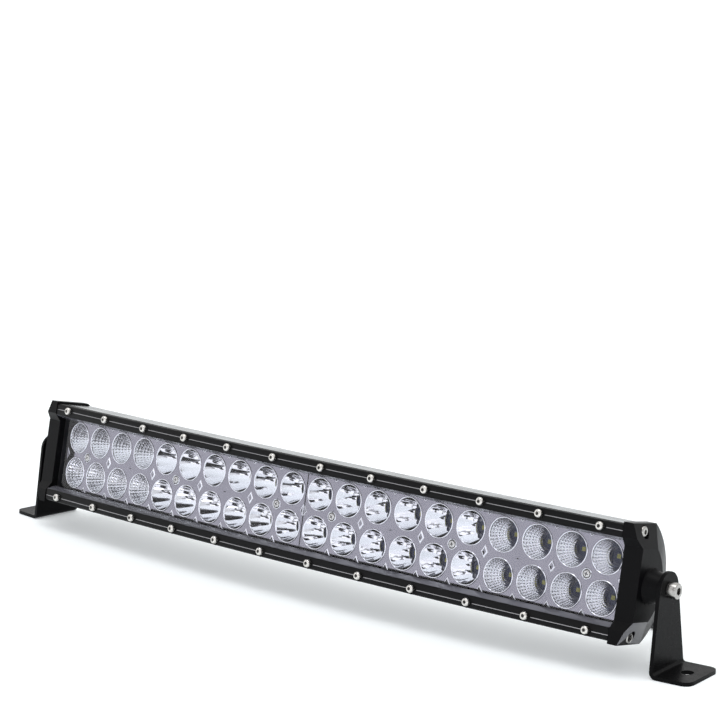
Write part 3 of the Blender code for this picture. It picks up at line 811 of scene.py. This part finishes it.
def make_screw(node, frame_at, profile, recess, depth, metal):
    """A screw's head with z outwards.

    profile is (radius, height) from the seat to the top's edge, and recess is the outline
    of the recess in the top.
    """
    bm = bmesh.new()
    rings = [[bm.verts.new((x, y, h)) for x, y in ring_points(r, ROUND_SIDES)] for r, h in profile]
    for first, second in zip(rings, rings[1:]):
        bridge(bm, first, second)
    bm.faces.new(rings[0])
    top = profile[-1][1]
    inner = [bm.verts.new((x, y, top)) for x, y in recess]
    edges = []
    for loop in (rings[-1], inner):
        for first, second in zip(loop, loop[1:] + loop[:1]):
            edges.append(bm.edges.get((first, second)) or bm.edges.new((first, second)))
    bmesh.ops.triangle_fill(bm, use_beauty=True, edges=edges, normal=(0, 0, 1))
    floor = [bm.verts.new((RECESS_TAPER * x, RECESS_TAPER * y, top - depth)) for x, y in recess]
    bridge(bm, inner, floor)
    # The recess floor is painted shade.
    bm.faces.new(floor).material_index = 1
    bm.transform(frame_at)
    materials = [metal, "socket_painted_shade"]
    finish_piece(node + "_fine", bm, "bar", materials, node, SCREW_SMOOTH)


def make_bezel_screws():
    profile = dome(radius=2.6 * MM, height=2.7 * MM, edge=1.4 * MM)
    socket = ring_points(1.25 * MM, 6)
    depth = 1.4 * MM
    for label, side in RAILS:
        for i in range(SCREWS_IN_ROW):
            frame_at = facing(screw_arc(i), -BEZEL_SCREW_LIFT, side * SCREW_ROW)
            turn = Matrix.Rotation(BEZEL_SCREW_TURN * i + side * BEZEL_ROW_TURN, 4, "Z")
            node = f"bezel_screw_{label}_{i + 1:02d}"
            make_screw(node, frame_at @ turn, profile, socket, depth, "bright_steel")


def make_cap_screws():
    profile = dome(radius=3.5 * MM, height=2.2 * MM, edge=1.1 * MM)
    depth = 1.3 * MM
    for label, side in ENDS:
        cap = BAR_SPACE @ at_arc(side * CAP_ARC)
        turn = Matrix.Rotation(side * math.pi / 2, 4, "Y")
        for i, (d, z) in enumerate(CAP_SCREW_PLACES):
            frame_at = cap @ Matrix.Translation((side * CAP_SEAT, d, z)) @ turn
            socket = ring_points(1.6 * MM, 6, CAP_SCREW_TURN * i)
            node = f"cap_screw_{label}_{i + 1}"
            make_screw(node, frame_at, profile, socket, depth, "grey_steel")


def make_bracket_bolts():
    profile = [(r * MM, h * MM) for r, h in BOLT_PROFILE]
    socket = ring_points(2.5 * MM, 6, BOLT_TURN)
    depth = 3 * MM
    for label, side in ENDS:
        outwards = Vector((side * abs(HINGE_AXIS.x), abs(HINGE_AXIS.y), 0))
        place = Vector((side * HINGE.x, HINGE.y, HINGE.z)) + BOLT_LIFT * outwards
        turn = outwards.to_track_quat("Z", "Y").to_matrix().to_4x4()
        frame_at = Matrix.Translation(place) @ turn
        make_screw(f"bracket_bolt_{label}", frame_at, profile, socket, depth, "grey_steel")


def make_reflector_screws():
    profile = dome(radius=2.3 * MM, height=0.8 * MM, edge=0.3 * MM)
    cross = cross_points(reach=1.4 * MM, half=0.32 * MM)
    depth = 0.5 * MM
    arcs = [module_start(module) + gap * LED_PITCH for _, module in MODULES for gap in SCREW_GAPS]
    for i, s in enumerate(arcs):
        turn = Matrix.Rotation(REFLECTOR_SCREW_START + REFLECTOR_SCREW_TURN * i, 4, "Z")
        frame_at = facing(s, PLATE_DEPTH, 0) @ turn
        make_screw(f"reflector_screw_{i + 1}", frame_at, profile, cross, depth, "bright_steel")


# Cable

CABLE_DIAMETER = 5.5 * MM
CABLE_FLOOR = 3.0 * MM
CABLE_STEP = 3 * MM
WIRE_DIAMETER = 2.3 * MM
WIRE_FLOOR = 1.4 * MM
WIRE_STEP = 1.5 * MM
CURVE_STEPS = 24

GLAND_ARC = 246 * MM
GLAND_ANGLE = math.radians(-20)
# Depth of the middle of the housing's round back, which the gland points away from.
CROWN_DEPTH = 5.15 * MM
# Distances along the gland's axis: its tip, and where the cable starts to bend.
GLAND_TIP = 49.3 * MM
BEND_START = 53 * MM

CABLE_ROUTE = (
    (0.2410, 0.0440, 0.0222),
    (0.2432, 0.0520, 0.0162),
    (0.2430, 0.0605, 0.0098),
    (0.2365, 0.0680, 0.0050),
    (0.2240, 0.0735, CABLE_FLOOR),
    (0.2050, 0.0792, CABLE_FLOOR),
    (0.1820, 0.0860, CABLE_FLOOR),
    (0.1420, 0.0954, CABLE_FLOOR),
    (0.1140, 0.0974, CABLE_FLOOR),
    (0.0900, 0.0934, CABLE_FLOOR),
    (0.0570, 0.0814, CABLE_FLOOR),
    (0.0200, 0.0704, CABLE_FLOOR),
    (-0.0485, 0.0523, CABLE_FLOOR),
)
RED_ROUTE = (
    (-0.0485, 0.0510, 0.0026),
    (-0.0585, 0.0480, WIRE_FLOOR),
    (-0.0775, 0.0490, WIRE_FLOOR),
    (-0.0965, 0.0465, WIRE_FLOOR),
)
BLACK_ROUTE = (
    (-0.0492, 0.0535, 0.0026),
    (-0.0595, 0.0535, WIRE_FLOOR),
    (-0.0775, 0.0565, WIRE_FLOOR),
    (-0.0955, 0.0610, WIRE_FLOOR),
)


def gland_point(out):
    """A point on the gland's axis, that far out from the middle of the round back."""
    turn = Matrix.Rotation(math.pi / 2, 4, "Z") @ Matrix.Rotation(-GLAND_ANGLE, 4, "Y")
    place = BAR_SPACE @ at_arc(GLAND_ARC) @ Matrix.Translation((0, CROWN_DEPTH, 0)) @ turn
    return place @ Vector((out, 0, 0))


def smooth_route(route, spacing, before=None):
    """Evenly spaced points of a Catmull-Rom curve through the route."""
    route = [Vector(p) for p in route]
    ends = [before or 2 * route[0] - route[1], *route, 2 * route[-1] - route[-2]]
    fine = []
    for a, b, c, d in zip(ends, ends[1:], ends[2:], ends[3:]):
        for i in range(CURVE_STEPS):
            t = i / CURVE_STEPS
            square = 2 * a - 5 * b + 4 * c - d
            cubic = 3 * b - a - 3 * c + d
            fine.append(0.5 * (2 * b + (c - a) * t + square * t**2 + cubic * t**3))
    fine.append(route[-1])
    lengths = [0.0]
    for p, q in zip(fine, fine[1:]):
        lengths.append(lengths[-1] + (q - p).length)
    count = round(lengths[-1] / spacing)
    points = []
    k = 0
    for i in range(count + 1):
        wanted = lengths[-1] * i / count
        while k < len(fine) - 2 and lengths[k + 1] < wanted:
            k += 1
        share = (wanted - lengths[k]) / (lengths[k + 1] - lengths[k])
        points.append(fine[k].lerp(fine[k + 1], min(1.0, share)))
    return points


def line_length(points):
    return sum((q - p).length for p, q in zip(points, points[1:]))


def tube(node, points, diameter, material, slot):
    """A round curve through points that stands for a CAD node."""
    data = bpy.data.curves.new(node + "_fine", "CURVE")
    data.dimensions = "3D"
    data.bevel_depth = diameter / 2
    data.bevel_resolution = 6
    data.use_fill_caps = True
    spline = data.splines.new("POLY")
    spline.points.add(len(points) - 1)
    for target, place in zip(spline.points, points):
        target.co = (*place, 1)
    piece = bpy.data.objects.new(node + "_fine", data)
    bpy.context.scene.collection.objects.link(piece)
    paint(piece, material)
    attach(piece, "bar")
    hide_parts(node)
    return piece


def make_cable():
    gland = refined(
        "cable_gland", "bar", ["black_rubber"], width=0.3 * MM, segments=2, angle=25
    )
    leave = gland_point(GLAND_TIP)
    route = (gland_point(BEND_START), *CABLE_ROUTE)
    line = [leave, *smooth_route(route, CABLE_STEP, before=leave)]
    jacket = tube("cable_jacket", line, CABLE_DIAMETER, "cable_black", "black_rubber")
    line_length(line)
    for node, route, material, slot in (
        ("wire_red", RED_ROUTE, "red_insulation", "red_wire"),
        ("wire_black", BLACK_ROUTE, "cable_black", "black_rubber"),
    ):
        line = smooth_route(route, WIRE_STEP)
        wire = tube(node, line, WIRE_DIAMETER, material, slot)
        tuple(line[0])
        line_length(line)


# The other CAD nodes: refined copies, or painted as they are

CAP_FINISHES = ["blasted_cap", "anodised_painted_sheen"]
FACET_DOWN = 0.25
FACET_OUT = 0.8
FACET_AREA = 1e-4


def make_end_cap(label):
    """An end cap whose large lower facet, seen from outside, is painted brighter as a painted
    sheen.
    """
    cap = refined(
        f"end_cap_{label}", "bar", CAP_FINISHES,
        width=0.4 * MM, segments=3, angle=12,
    )
    for face in cap.data.polygons:
        # Facets facing down and outwards get the lighter black of the painted sheen.
        outer = face.normal.z < -FACET_DOWN and abs(face.normal.x) > FACET_OUT
        if outer and face.area > FACET_AREA:
            face.material_index = 1


def dress_nodes():
    refined(
        "housing", "bar", ["smooth_anodised"],
        width=0.25 * MM, segments=2, angle=25,
    )
    coat = "black_powder_coat"
    for label in ("left", "right"):
        make_end_cap(label)
        refined(
            f"bracket_{label}", f"{label}_bracket", [coat],
            width=0.35 * MM, segments=3, angle=30,
        )
        paint(nodes[f"end_gasket_{label}"], "black_rubber")
        paint(nodes[f"led_board_{label}"], "circuit_board")
    paint(nodes["lens"], "clear_lens")
    paint(nodes["lens_gasket"], "black_rubber")
    paint(nodes["driver_board"], "green_board")


make_camera()
make_materials()
make_floor()
make_world()
make_sun()
make_cable()
make_rails()
make_bezel_screws()
make_cap_screws()
make_bracket_bolts()
make_reflector_screws()
make_reflectors()
make_led_chips()
dress_nodes()
bpy.context.scene.view_settings.view_transform = "Standard"
